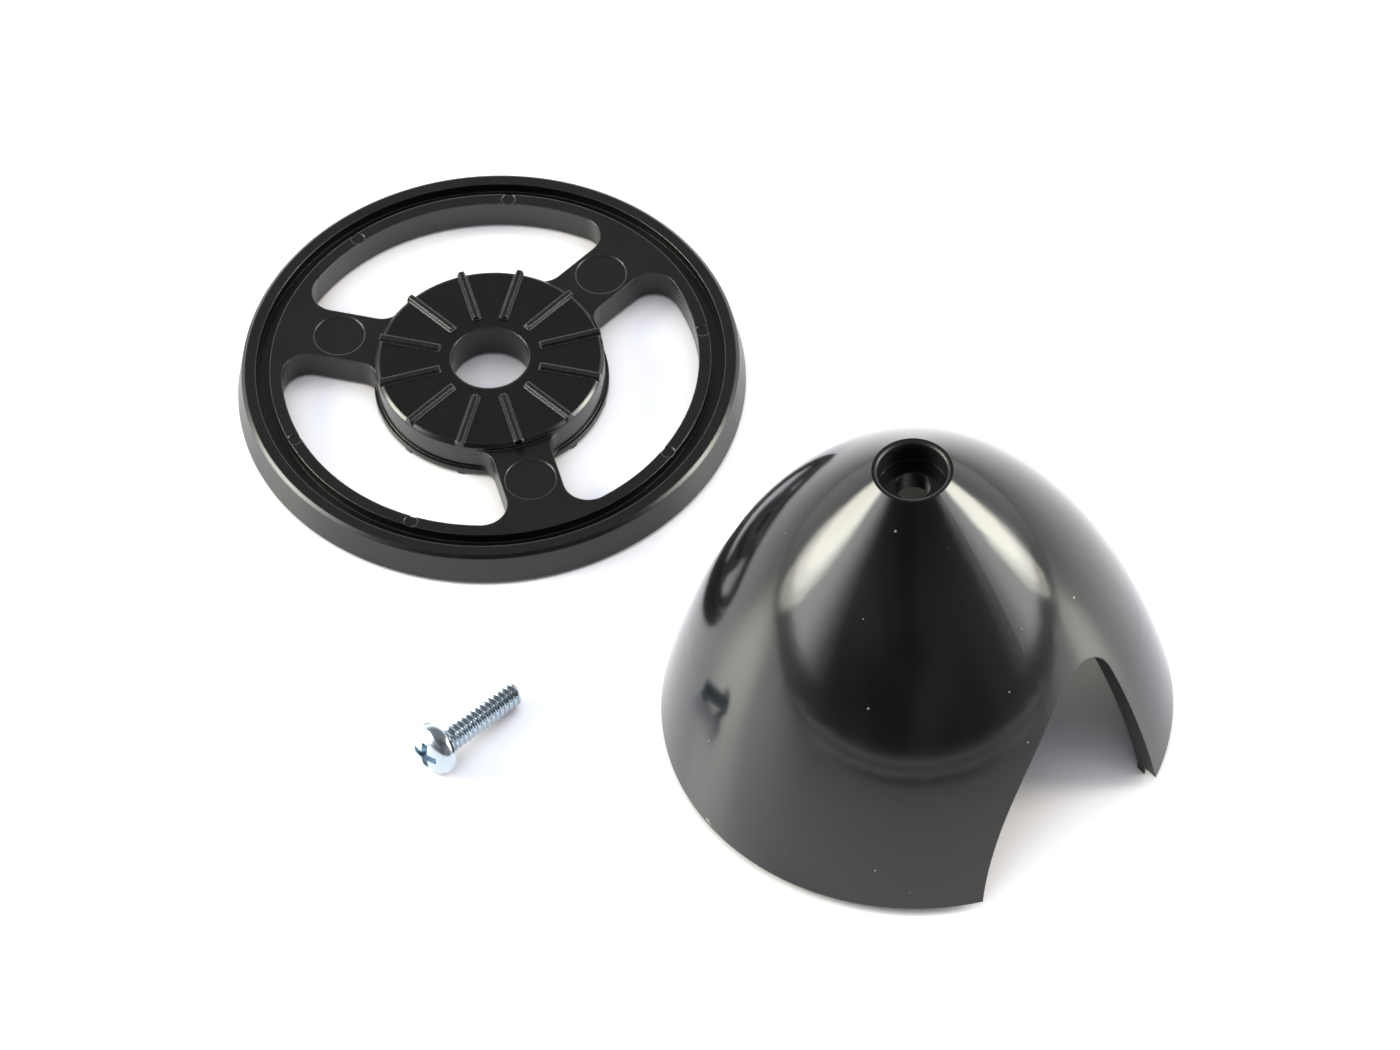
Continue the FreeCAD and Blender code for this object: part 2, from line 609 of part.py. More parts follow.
def make_nose_screw(document: Document):
    """Make the nose screw, resting on the edge of its head and the edge of its tip."""
    body = document.body("nose_screw")
    screw_section(document, body)
    cross_recess(document, body)
    dip = sizes_in(f"atan(({HEAD_RADIUS} - {THREAD_RADIUS}) / (screw_length - tip_chamfer))")
    reach = sizes_in(f"({PLATE_RADIUS} + screw_gap)")
    bearing = size("screw_bearing")
    height = f"{sizes_in(FLOOR)} + {sizes_in(HEAD_RADIUS)} * cos({dip})"
    spot = f"vector({reach} * cos({bearing}); {reach} * sin({bearing}); {height})"
    turn = f"rotationz({size('screw_turn')}) * rotationy(90 deg + {dip}) * rotationz({size('screw_roll')})"
    body.setExpression("Placement", f"placement({spot}; {turn})")
    return body


def check_document(document: Document, bodies: list) -> None:
    """Stop if any object has failed or any body has no valid single solid."""
    for thing in document.doc.Objects:
        if "Invalid" in thing.State or "Error" in thing.State:
            raise RuntimeError(f"{thing.Name} has failed: {thing.State}")
    for body in bodies:
        shape = body.Shape
        if shape.isNull() or not shape.isValid() or len(shape.Solids) != 1:
            raise RuntimeError(f"{body.Label} is not one valid solid")


def main() -> None:
    """Build the three pieces and write each to its own file."""
    document = Document()
    bodies = [make_backplate(document), make_spinner_cone(document), make_nose_screw(document)]
    document.doc.recompute()
    check_document(document, bodies)
    os.makedirs(PARTS_FOLDER, exist_ok=True)
    for body in bodies:
        body.Shape.exportStep(os.path.join(PARTS_FOLDER, f"{body.Label}.step"))
        box = body.Shape.BoundBox
        print(f"{body.Label}: {body.Shape.Volume:.1f} mm3, z {box.ZMin:.3f} to {box.ZMax:.3f}")


main()
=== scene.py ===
"""Looks of a two-blade propeller spinner that lies taken apart on a white table.

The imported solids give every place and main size. The two black mouldings are shown as they are packed, and
their finish gives them the small rounded edges of a moulded part. The nose screw is replaced by one with a
rolled thread, a full rounded head and a cross recess, and the cone gets the torn stub of its gate.
"""
import json
import logging
import math
import random
from dataclasses import dataclass
from enum import Enum

import bmesh
import bpy
from mathutils import Matrix, Vector


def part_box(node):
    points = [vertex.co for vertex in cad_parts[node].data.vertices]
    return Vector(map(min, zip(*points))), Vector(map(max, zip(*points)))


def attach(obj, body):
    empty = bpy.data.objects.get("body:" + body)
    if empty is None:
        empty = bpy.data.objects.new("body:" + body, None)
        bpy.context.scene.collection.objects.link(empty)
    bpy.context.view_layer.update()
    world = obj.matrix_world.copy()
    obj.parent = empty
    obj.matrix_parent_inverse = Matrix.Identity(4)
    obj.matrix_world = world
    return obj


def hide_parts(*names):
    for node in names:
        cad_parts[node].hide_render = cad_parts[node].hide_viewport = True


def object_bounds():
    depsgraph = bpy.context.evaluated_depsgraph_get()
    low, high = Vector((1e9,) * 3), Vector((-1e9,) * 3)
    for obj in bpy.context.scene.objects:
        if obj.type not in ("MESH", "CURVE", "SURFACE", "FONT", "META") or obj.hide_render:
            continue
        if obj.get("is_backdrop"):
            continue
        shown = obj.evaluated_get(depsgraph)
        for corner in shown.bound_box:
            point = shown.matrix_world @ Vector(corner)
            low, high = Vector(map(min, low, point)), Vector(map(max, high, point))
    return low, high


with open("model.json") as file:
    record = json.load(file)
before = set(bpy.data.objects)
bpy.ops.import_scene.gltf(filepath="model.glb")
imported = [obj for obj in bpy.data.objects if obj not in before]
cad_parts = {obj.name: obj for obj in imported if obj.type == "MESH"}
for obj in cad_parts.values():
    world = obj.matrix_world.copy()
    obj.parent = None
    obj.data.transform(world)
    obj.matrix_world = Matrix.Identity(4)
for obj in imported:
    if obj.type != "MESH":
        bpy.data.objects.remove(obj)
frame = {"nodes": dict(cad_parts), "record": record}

MM = 0.001
WELD = 0.001 * MM
LOG = logging.getLogger("propeller_spinner")


def linear(code: str) -> tuple[float, float, float, float]:
    """Turn an sRGB hex colour into the linear one that the shaders take.

    Args:
        code: six hex digits, with or without a leading #.

    Returns:
        Linear red, green, blue and an alpha of 1.
    """
    digits = code.lstrip("#")
    shares = [int(digits[i:i + 2], 16) / 255 for i in (0, 2, 4)]
    light = [s / 12.92 if s <= 0.04045 else ((s + 0.055) / 1.055) ** 2.4 for s in shares]
    return (*light, 1.0)


def add_node(tree: bpy.types.NodeTree, kind: str, inputs: dict | None = None, **settings) -> bpy.types.Node:
    """Add one node with its settings, its constant inputs and its links.

    Args:
        tree: the node tree that gets the node.
        kind: the node's type name.
        inputs: socket name or number to a constant, or to the output that feeds it.
        settings: the node's own properties.

    Returns:
        The new node.
    """
    node = tree.nodes.new(kind)
    for name, value in settings.items():
        setattr(node, name, value)
    for key, value in (inputs or {}).items():
        if isinstance(value, bpy.types.NodeSocket):
            tree.links.new(value, node.inputs[key])
        else:
            node.inputs[key].default_value = value
    return node


def new_material(name: str) -> bpy.types.Material:
    """Make an empty node material.

    Args:
        name: the material's name.

    Returns:
        The material, without nodes.
    """
    material = bpy.data.materials.new(name)
    material.use_nodes = True
    material.node_tree.nodes.clear()
    return material


# Finishes ------------------------------------------------------------------------------------------------

@dataclass(frozen=True)
class PolishedBlackNylon:
    """Black nylon moulded against a polished tool: deep, wet-looking gloss with a faint ripple."""

    # The polished cavity gives the outside clear images of its surroundings, bent a little every few
    # millimetres where the plastic flowed. The plain core leaves the inside dull. Real dust is finer than it
    # is drawn here: it is as coarse as it needs to be to show.
    colour: str = "#0b0b0b"
    ior: float = 1.5
    roughness: float = 0.115
    roughness_spread: float = 0.03
    inner_roughness: float = 0.42
    inner_limit_mm: float = -0.5
    edge_round_mm: float = 0.14
    ripple_mm: float = 6.0
    ripple_depth_mm: float = 0.002
    dust_spacing_mm: float = 1.7
    dust_size_mm: float = 0.15
    dust_colour: str = "#9a978f"
    clean_share: float = 0.7

    def material(self, axis: Vector) -> bpy.types.Material:
        """Build the finish with its moulding ripple and its few specks of dust.

        Args:
            axis: a point on the upright axis of the shell, whose inside is left duller.

        Returns:
            The material.
        """
        material = new_material("polished_black_nylon")
        tree = material.node_tree
        place = add_node(tree, "ShaderNodeTexCoord").outputs["Object"]
        cloud = add_node(tree, "ShaderNodeTexNoise", {
            "Vector": place, "Scale": 1 / (self.ripple_mm * MM), "Detail": 2.0,
        })
        rough = add_node(tree, "ShaderNodeMapRange", {
            "Value": cloud.outputs["Fac"],
            "To Min": self.roughness - self.roughness_spread,
            "To Max": self.roughness + self.roughness_spread,
        })
        facing = add_node(tree, "ShaderNodeTexCoord").outputs["Normal"]
        outward = add_node(tree, "ShaderNodeVectorMath", {0: place, 1: (axis.x, axis.y, 0.0)},
                           operation="SUBTRACT").outputs[0]
        outward = add_node(tree, "ShaderNodeVectorMath", {0: outward, 1: (1.0, 1.0, 0.0)},
                           operation="MULTIPLY").outputs[0]
        turned_in = add_node(tree, "ShaderNodeMath", {
            0: add_node(tree, "ShaderNodeVectorMath", {0: outward, 1: facing},
                        operation="DOT_PRODUCT").outputs["Value"],
            1: self.inner_limit_mm * MM,
        }, operation="LESS_THAN").outputs[0]
        rough = add_node(tree, "ShaderNodeMapRange", {
            "Value": turned_in, "To Min": rough.outputs["Result"], "To Max": self.inner_roughness,
        })
        edge = add_node(tree, "ShaderNodeBevel", {"Radius": self.edge_round_mm * MM}, samples=4)
        bump = add_node(tree, "ShaderNodeBump", {
            "Height": cloud.outputs["Fac"], "Distance": self.ripple_depth_mm * MM, "Strength": 1.0,
            "Normal": edge.outputs["Normal"],
        })
        cell = add_node(tree, "ShaderNodeTexVoronoi", {
            "Vector": place, "Scale": 1 / (self.dust_spacing_mm * MM), "Randomness": 1.0,
        })
        chosen = add_node(tree, "ShaderNodeSeparateColor", {"Color": cell.outputs["Color"]})
        reach = add_node(tree, "ShaderNodeMapRange", {
            "Value": chosen.outputs["Red"], "From Min": self.clean_share, "From Max": 1.0,
            "To Min": 0.0, "To Max": self.dust_size_mm / self.dust_spacing_mm,
        })
        speck = add_node(tree, "ShaderNodeMath", {0: cell.outputs["Distance"], 1: reach.outputs["Result"]},
                         operation="LESS_THAN")
        colour = add_node(tree, "ShaderNodeMix", {
            "Factor": speck.outputs[0], 6: linear(self.colour), 7: linear(self.dust_colour),
        }, data_type="RGBA")
        shader = add_node(tree, "ShaderNodeBsdfPrincipled", {
            "Base Color": colour.outputs[2], "Roughness": rough.outputs["Result"],
            "IOR": self.ior, "Normal": bump.outputs["Normal"],
        })
        add_node(tree, "ShaderNodeOutputMaterial", {"Surface": shader.outputs["BSDF"]})
        return material


@dataclass(frozen=True)
class MouldedBlackNylon:
    """Black nylon from a plain tool: satin on the web and rim, smoother on the hub's faces."""

    # A plain tool leaves a fine grain, so lamps show as soft patches and not as images. Edges and rib tops
    # are painted a patchy grey: partly wear, partly a painted highlight where their rounding meets the
    # lamps. The real grain is about a tenth of a millimetre, too fine to show, so it is drawn three times as
    # coarse.
    colour: str = "#0a0a0a"
    ior: float = 1.5
    web_roughness: float = 0.3
    hub_roughness: float = 0.2
    grain_mm: float = 0.35
    grain_depth_mm: float = 0.003
    cloud_mm: float = 4.0
    cloud_spread: float = 0.05
    edge_round_mm: float = 0.2
    hub_edge_round_mm: float = 0.3
    edge_begins: float = 0.97
    edge_full: float = 0.8
    # Rib crests are painted grey: partly wear, partly a painted highlight.
    crest_wear_and_highlight: float = 0.12
    scuff_and_highlight_mm: float = 0.4
    scuff_and_highlight_low: float = 0.25
    scuff_and_highlight_high: float = 0.75
    # Grey of the edges and rib crests: partly wear, partly a painted highlight.
    scuff_and_highlight_colour: str = "#5f5e5c"

    def material(self, hub_radius: float, crest: float) -> bpy.types.Material:
        """Build the finish.

        Args:
            hub_radius: radius of the smoother hub round the Z axis, in metres.
            crest: height above which the drive ribs are painted grey for wear and highlight, in metres.

        Returns:
            The material.
        """
        material = new_material("moulded_black_nylon")
        tree = material.node_tree
        place = add_node(tree, "ShaderNodeTexCoord").outputs["Object"]
        flat = add_node(tree, "ShaderNodeVectorMath", {0: place, 1: (1.0, 1.0, 0.0)}, operation="MULTIPLY")
        radius = add_node(tree, "ShaderNodeVectorMath", {0: flat.outputs[0]}, operation="LENGTH")
        outside = add_node(tree, "ShaderNodeMath", {0: radius.outputs["Value"], 1: hub_radius},
                           operation="GREATER_THAN")
        level = add_node(tree, "ShaderNodeMapRange", {
            "Value": outside.outputs[0], "To Min": self.hub_roughness, "To Max": self.web_roughness,
        })
        cloud = add_node(tree, "ShaderNodeTexNoise", {
            "Vector": place, "Scale": 1 / (self.cloud_mm * MM), "Detail": 3.0,
        })
        drift = add_node(tree, "ShaderNodeMapRange", {
            "Value": cloud.outputs["Fac"], "To Min": -self.cloud_spread, "To Max": self.cloud_spread,
        })
        rough = add_node(tree, "ShaderNodeMath", {0: level.outputs["Result"], 1: drift.outputs["Result"]},
                         operation="ADD")
        grain = add_node(tree, "ShaderNodeTexNoise", {
            "Vector": place, "Scale": 1 / (self.grain_mm * MM), "Detail": 2.0,
        })
        round_off = add_node(tree, "ShaderNodeMapRange", {
            "Value": outside.outputs[0],
            "To Min": self.hub_edge_round_mm * MM, "To Max": self.edge_round_mm * MM,
        })
        edge = add_node(tree, "ShaderNodeBevel", {"Radius": round_off.outputs["Result"]}, samples=6)
        bump = add_node(tree, "ShaderNodeBump", {
            "Height": grain.outputs["Fac"], "Distance": self.grain_depth_mm * MM, "Strength": 1.0,
            "Normal": edge.outputs["Normal"],
        })
        true_way = add_node(tree, "ShaderNodeNewGeometry").outputs["Normal"]
        agreement = add_node(tree, "ShaderNodeVectorMath", {0: edge.outputs["Normal"], 1: true_way},
                             operation="DOT_PRODUCT")
        # Rounded edges, and the rib crests below, are painted grey: partly wear, partly a painted highlight.
        rubbed_and_highlight = add_node(tree, "ShaderNodeMapRange", {
            "Value": agreement.outputs["Value"], "From Min": self.edge_begins, "From Max": self.edge_full,
        })
        height = add_node(tree, "ShaderNodeSeparateXYZ", {"Vector": place}).outputs["Z"]
        on_crest = add_node(tree, "ShaderNodeMath", {0: height, 1: crest}, operation="GREATER_THAN")
        crest_wear_and_highlight = add_node(tree, "ShaderNodeMath", {0: on_crest.outputs[0], 1: self.crest_wear_and_highlight},
                              operation="MULTIPLY")
        rubbed_and_highlight = add_node(tree, "ShaderNodeMath", {0: rubbed_and_highlight.outputs["Result"], 1: crest_wear_and_highlight.outputs[0]},
                          operation="MAXIMUM")
        scuffs_and_highlights = add_node(tree, "ShaderNodeTexNoise", {
            "Vector": place, "Scale": 1 / (self.scuff_and_highlight_mm * MM), "Detail": 4.0, "Roughness": 0.7,
        })
        patchy = add_node(tree, "ShaderNodeMapRange", {
            "Value": scuffs_and_highlights.outputs["Fac"], "From Min": self.scuff_and_highlight_low, "From Max": self.scuff_and_highlight_high,
        })
        worn_and_highlight = add_node(tree, "ShaderNodeMath", {0: rubbed_and_highlight.outputs[0], 1: patchy.outputs["Result"]},
                        operation="MULTIPLY")
        colour = add_node(tree, "ShaderNodeMix", {
            "Factor": worn_and_highlight.outputs[0], 6: linear(self.colour), 7: linear(self.scuff_and_highlight_colour),
        }, data_type="RGBA")
        shader = add_node(tree, "ShaderNodeBsdfPrincipled", {
            "Base Color": colour.outputs[2], "Roughness": rough.outputs[0],
            "IOR": self.ior, "Normal": bump.outputs["Normal"],
        })
        add_node(tree, "ShaderNodeOutputMaterial", {"Surface": shader.outputs["BSDF"]})
        return material


@dataclass(frozen=True)
class BrightZincPlate:
    """Steel with bright, clear-passivated zinc: a slightly blue, slightly uneven mirror."""

    # The thin plating follows the formed steel, so images in it are soft and wander. Its real crystals are
    # far too fine to show: the unevenness is drawn at half a millimetre.
    colour: str = "#c0cbd4"
    roughness: float = 0.17
    roughness_spread: float = 0.06
    mottle_mm: float = 0.5
    mottle_depth_mm: float = 0.004

    def material(self) -> bpy.types.Material:
        """Build the finish with the fine unevenness of plating over formed steel.

        Returns:
            The material.
        """
        material = new_material("bright_zinc_plate")
        tree = material.node_tree
        place = add_node(tree, "ShaderNodeTexCoord").outputs["Object"]
        mottle = add_node(tree, "ShaderNodeTexNoise", {
            "Vector": place, "Scale": 1 / (self.mottle_mm * MM), "Detail": 3.0,
        })
        rough = add_node(tree, "ShaderNodeMapRange", {
            "Value": mottle.outputs["Fac"],
            "To Min": self.roughness - self.roughness_spread,
            "To Max": self.roughness + self.roughness_spread,
        })
        bump = add_node(tree, "ShaderNodeBump", {
            "Height": mottle.outputs["Fac"], "Distance": self.mottle_depth_mm * MM, "Strength": 1.0,
        })
        shader = add_node(tree, "ShaderNodeBsdfPrincipled", {
            "Base Color": linear(self.colour), "Metallic": 1.0, "Roughness": rough.outputs["Result"],
            "Normal": bump.outputs["Normal"],
        })
        add_node(tree, "ShaderNodeOutputMaterial", {"Surface": shader.outputs["BSDF"]})
        return material


@dataclass(frozen=True)
class ShearedNylon:
    """Nylon where the runner was sheared off: rough, torn and a little whitened."""

    # The tear stretches the plastic until it turns pale, and its ragged facets glint.
    colour: str = "#8d8a84"
    ior: float = 1.5
    roughness: float = 0.3
    tear_mm: float = 0.12
    tear_depth_mm: float = 0.05

    def material(self) -> bpy.types.Material:
        """Build the finish with its torn grain.

        Returns:
            The material.
        """
        material = new_material("sheared_nylon")
        tree = material.node_tree
        place = add_node(tree, "ShaderNodeTexCoord").outputs["Object"]
        tear = add_node(tree, "ShaderNodeTexNoise", {
            "Vector": place, "Scale": 1 / (self.tear_mm * MM), "Detail": 3.0,
        })
        bump = add_node(tree, "ShaderNodeBump", {
            "Height": tear.outputs["Fac"], "Distance": self.tear_depth_mm * MM, "Strength": 1.0,
        })
        shader = add_node(tree, "ShaderNodeBsdfPrincipled", {
            "Base Color": linear(self.colour), "Roughness": self.roughness, "IOR": self.ior,
            "Normal": bump.outputs["Normal"],
        })
        add_node(tree, "ShaderNodeOutputMaterial", {"Surface": shader.outputs["BSDF"]})
        return material


@dataclass(frozen=True)
class WhiteTable:
    """Glossy white laminate table that reads as plain white and keeps the object's shadow."""

    # Laminate pressed against a smooth plate: an even white, which is lifted to full white for what looks at
    # it. Where ambient occlusion finds the pieces covering the table the lift goes: painted shade under and
    # round them, which keeps their shadows. Where the lift fades, it turns warm brown: a painted warm shade
    # at their edges. In a gloss it fades with distance.
    colour: str = "#f1f1ef"
    roughness: float = 0.3
    glow_colour: str = "#fafaff"
    camera_glow: float = 0.68
    gloss_glow: float = 0.75
    near_radius: float = 0.05
    far_radius: float = 0.27
    shade_reach: float = 0.08
    covered: float = 0.15
    clear: float = 0.65
    # Brown of the painted warm shade at the edges of the pieces' shadows.
    shade_colour: str = "#d8b79c"

    def material(self) -> bpy.types.Material:
        """Build the table: lit by the lamps, and lifted to white for what sees it.

        Returns:
            The material.
        """
        material = new_material("white_table")
        tree = material.node_tree
        place = add_node(tree, "ShaderNodeTexCoord").outputs["Object"]
        radius = add_node(tree, "ShaderNodeVectorMath", {0: place}, operation="LENGTH")
        near = add_node(tree, "ShaderNodeMapRange", {
            "Value": radius.outputs["Value"], "From Min": self.near_radius,
            "From Max": self.far_radius, "To Min": self.gloss_glow, "To Max": 0.0,
        })
        path = add_node(tree, "ShaderNodeLightPath")
        seen = add_node(tree, "ShaderNodeMath", {
            0: path.outputs["Is Camera Ray"], 1: path.outputs["Is Transmission Ray"],
        }, operation="MAXIMUM")
        camera = add_node(tree, "ShaderNodeMath", {0: seen.outputs[0], 1: self.camera_glow},
                          operation="MULTIPLY")
        glow = add_node(tree, "ShaderNodeMath", {
            0: path.outputs["Is Glossy Ray"], 1: near.outputs["Result"], 2: camera.outputs[0],
        }, operation="MULTIPLY_ADD")
        # Ambient occlusion takes the lift away near the pieces: painted shade under and round them.
        open_sky = add_node(tree, "ShaderNodeAmbientOcclusion", {"Distance": self.shade_reach}, samples=6)
        clear = add_node(tree, "ShaderNodeMapRange", {
            "Value": open_sky.outputs["AO"], "From Min": self.covered, "From Max": self.clear,
        }, interpolation_type="SMOOTHSTEP")
        shaded = add_node(tree, "ShaderNodeMath", {0: glow.outputs[0], 1: clear.outputs["Result"]},
                          operation="MULTIPLY")
        # The fading lift turns brown: painted warm shade.
        tint = add_node(tree, "ShaderNodeMix", {
            "Factor": clear.outputs["Result"], 6: linear(self.shade_colour), 7: linear(self.glow_colour),
        }, data_type="RGBA")
        lamp = add_node(tree, "ShaderNodeEmission", {
            "Color": tint.outputs[2], "Strength": shaded.outputs[0],
        })
        paint = add_node(tree, "ShaderNodeBsdfPrincipled", {
            "Base Color": linear(self.colour), "Roughness": self.roughness,
        })
        both = add_node(tree, "ShaderNodeAddShader", {
            0: paint.outputs["BSDF"], 1: lamp.outputs["Emission"],
        })
        add_node(tree, "ShaderNodeOutputMaterial", {"Surface": both.outputs["Shader"]})
        return material


# Pieces, with sizes in millimetres and angles in degrees -------------------------------------------------

class Body(Enum):
    """The rigid body that the pieces ride on."""

    ROOT = "root"


def new_piece(name: str, mesh: bpy.types.Mesh, material: bpy.types.Material) -> bpy.types.Object:
    """Link a finished mesh as a piece at the origin.

    Args:
        name: the piece's name.
        mesh: the mesh, with its place in it.
        material: the finish of the whole piece.

    Returns:
        The linked object.
    """
    mesh.name = name
    mesh.materials.clear()
    mesh.materials.append(material)
    piece = bpy.data.objects.new(name, mesh)
    bpy.context.scene.collection.objects.link(piece)
    return piece


def as_plain_mesh(piece: bpy.types.Object) -> bpy.types.Mesh:
    """Return the piece's evaluated shape as a mesh without modifiers."""
    graph = bpy.context.evaluated_depsgraph_get()
    return bpy.data.meshes.new_from_object(piece.evaluated_get(graph))


def shade_by_angle(mesh: bpy.types.Mesh, degrees: float) -> None:
    """Shade a mesh smooth, with edges sharper than an angle kept sharp."""
    mesh.polygons.foreach_set("use_smooth", [True] * len(mesh.polygons))
    mesh.set_sharp_from_angle(angle=math.radians(degrees))


@dataclass(frozen=True)
class Moulding:
    """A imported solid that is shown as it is, in its finish."""

    node: str

    def dress(self, material: bpy.types.Material) -> bpy.types.Object:
        """Give the solid its finish.

        Args:
            material: the finish of the whole solid.

        Returns:
            The solid's object.
        """
        solid = frame["nodes"][self.node]
        for slot in solid.material_slots:
            slot.material = material
        return solid


@dataclass(frozen=True)
class Backplate(Moulding):
    """The backplate: smoother hub, and drive ribs with crests painted grey for wear and highlight."""

    node: str = "backplate"
    hub_radius: float = 11.65
    # How far below the rib tops the painted grey of wear and highlight begins.
    rib_crest: float = 0.3

    def build(self) -> list[bpy.types.Object]:
        """Dress the backplate.

        Returns:
            The backplate alone.
        """
        rib_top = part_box(self.node)[1][2]
        finish = MouldedBlackNylon().material(self.hub_radius * MM, rib_top - self.rib_crest * MM)
        return [self.dress(finish)]


@dataclass(frozen=True)
class GateStub:
    """The torn stub that the runner leaves on the cone's bottom edge."""

    azimuth: float = 237.0
    edge_radius: float = 25.15
    edge_height: float = 1.0
    length: float = 1.1
    width: float = 0.3
    height: float = 0.5
    deepest_tear: float = 0.72
    subdivisions: int = 3
    seed: int = 7

    def build(self, centre: Vector, material: bpy.types.Material) -> bpy.types.Object:
        """Build the stub on the edge of the shell.

        Args:
            centre: a point on the cone's axis.
            material: the finish of the torn nylon.

        Returns:
            The piece.
        """
        chance = random.Random(self.seed)
        solid = bmesh.new()
        bmesh.ops.create_icosphere(solid, subdivisions=self.subdivisions, radius=MM / 2)
        for vert in solid.verts:
            vert.co *= chance.uniform(self.deepest_tear, 1.0)
        bmesh.ops.scale(solid, vec=(self.length, self.width, self.height), verts=solid.verts)
        turn = math.radians(self.azimuth)
        place = Vector((centre.x + math.sin(turn) * self.edge_radius * MM,
                        centre.y + math.cos(turn) * self.edge_radius * MM, self.edge_height * MM))
        bmesh.ops.transform(solid, verts=solid.verts,
                            matrix=Matrix.Translation(place) @ Matrix.Rotation(-turn, 4, "Z"))
        mesh = bpy.data.meshes.new("gate_stub")
        solid.to_mesh(mesh)
        solid.free()
        stub = new_piece("gate_stub", mesh, material)
        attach(stub, Body.ROOT.value)
        return stub


@dataclass(frozen=True)
class SpinnerCone(Moulding):
    """The cone, and the stub of its gate."""

    node: str = "spinner_cone"
    gate: GateStub = GateStub()

    def build(self) -> list[bpy.types.Object]:
        """Dress the cone and build its stub.

        Returns:
            The cone and the stub.
        """
        low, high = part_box(self.node)
        centre = (Vector(low) + Vector(high)) / 2
        shell = self.dress(PolishedBlackNylon().material(centre))
        return [shell, self.gate.build(centre, ShearedNylon().material())]


@dataclass(frozen=True)
class NoseScrew:
    """Domed machine screw with a cross recess and a rolled thread."""

    head_diameter: float = 5.5
    head_height: float = 1.9
    head_edge: float = 0.3
    head_fullness: float = 2.2
    edge_round: float = 0.06
    length: float = 10.65
    thread_diameter: float = 2.84
    root_diameter: float = 2.12
    pitch: float = 0.635
    root_flat: float = 0.06
    crest_start: float = 0.37
    plain_neck: float = 0.75
    tip_chamfer: float = 0.4
    recess_span: float = 3.0
    recess_arm: float = 0.75
    recess_depth: float = 1.4
    recess_mouth: float = 1.12
    recess_floor: float = 0.66
    recess_roll: float = -6.0
    cutter_overshoot: float = 0.4
    corner_share: float = 0.3
    neck_share: float = 0.9
    smooth_angle: float = 40.0
    turn_steps: int = 48
    profile_steps: int = 10
    spare_turns: int = 2
    dome_steps: int = 20
    # Not a multiple of eight, so that no facet's edge falls on a corner of the recess.
    head_steps: int = 90

    def placement(self) -> Matrix:
        """Work out the screw's place from its packed mount.

        Returns:
            The matrix that takes a screw with its seat at the origin and its shank along +Z to its place.
        """
        mount = next(m for m in frame["record"]["mounts"] if m["name"] == "nose_screw_shank")
        along = Vector(mount["axis"]).normalized()
        down = Vector((0.0, 0.0, -1.0))
        side = (down - along * down.dot(along)).normalized()
        seat = Vector(mount["pos_m"]) - along * mount["dims"]["length_mm"] / 2 * MM
        turn = Matrix((side, along.cross(side), along)).transposed().to_4x4()
        roll = Matrix.Rotation(math.radians(self.recess_roll), 4, "Z")
        return Matrix.Translation(seat) @ turn @ roll

    def thread_tree(self) -> bpy.types.GeometryNodeTree:
        """Build the tree that rolls a flat grid into the threaded shank.

        Returns:
            The tree, with inputs for the material and the thread's sizes in metres.
        """
        tree = bpy.data.node_groups.new("rolled_thread", "GeometryNodeTree")
        face = tree.interface
        face.new_socket("Geometry", in_out="OUTPUT", socket_type="NodeSocketGeometry")
        face.new_socket("Material", in_out="INPUT", socket_type="NodeSocketMaterial")
        for name in ("Pitch", "Length", "Plain Neck", "Outer Radius", "Root Radius", "Tip Chamfer"):
            face.new_socket(name, in_out="INPUT", socket_type="NodeSocketFloat")
        for name in ("Turns", "Steps Per Turn", "Profile Steps"):
            face.new_socket(name, in_out="INPUT", socket_type="NodeSocketInt")
        value = {socket.name: socket for socket in add_node(tree, "NodeGroupInput").outputs}
        spot = add_node(tree, "ShaderNodeSeparateXYZ", {
            "Vector": add_node(tree, "GeometryNodeInputPosition").outputs["Position"],
        }).outputs
        value.update({"spot x": spot["X"], "spot y": spot["Y"]})
        # Each row names a result, says how it is worked out and gives what it is worked out from. The grid is
        # a unit square: its length winds round the shank and its width is one pitch, from root to root.
        for name, operation, *operands in (
            ("samples", "MULTIPLY", "Turns", "Steps Per Turn"),
            ("columns", "ADD", "samples", 1.0),
            ("rows", "ADD", "Profile Steps", 1.0),
            ("along", "ADD", "spot x", 0.5),
            ("across", "ADD", "spot y", 0.5),
            ("turn", "MULTIPLY", "along", "Turns"),
            ("angle", "MULTIPLY", "turn", math.tau),
            ("lead", "ADD", "turn", "across"),
            ("lead from seat", "SUBTRACT", "lead", 1.0),
            ("rise", "MULTIPLY", "lead from seat", "Pitch"),
            ("rise over seat", "MAXIMUM", "rise", 0.0),
            ("height", "MINIMUM", "rise over seat", "Length"),
            ("ridge", "PINGPONG", "across", 0.5),
            ("crest", "RAMP", "ridge", self.root_flat, self.crest_start),
            ("neck end", "ADD", "Plain Neck", "Pitch"),
            ("run out", "RAMP", "height", "Plain Neck", "neck end"),
            ("lift", "MULTIPLY", "crest", "run out"),
            ("thread radius", "RAMP", "lift", 0.0, 1.0, "Root Radius", "Outer Radius"),
            ("left to tip", "SUBTRACT", "Length", "height"),
            ("tip radius", "SUBTRACT", "Outer Radius", "Tip Chamfer"),
            ("chamfer radius", "ADD", "tip radius", "left to tip"),
            ("radius", "MINIMUM", "thread radius", "chamfer radius"),
            ("cosine", "COSINE", "angle"),
            ("sine", "SINE", "angle"),
            ("x", "MULTIPLY", "radius", "cosine"),
            ("y", "MULTIPLY", "radius", "sine"),
        ):
            inputs = {i: value[o] if isinstance(o, str) else o for i, o in enumerate(operands)}
            if operation == "RAMP":
                value[name] = add_node(tree, "ShaderNodeMapRange", inputs).outputs["Result"]
            else:
                value[name] = add_node(tree, "ShaderNodeMath", inputs, operation=operation).outputs[0]

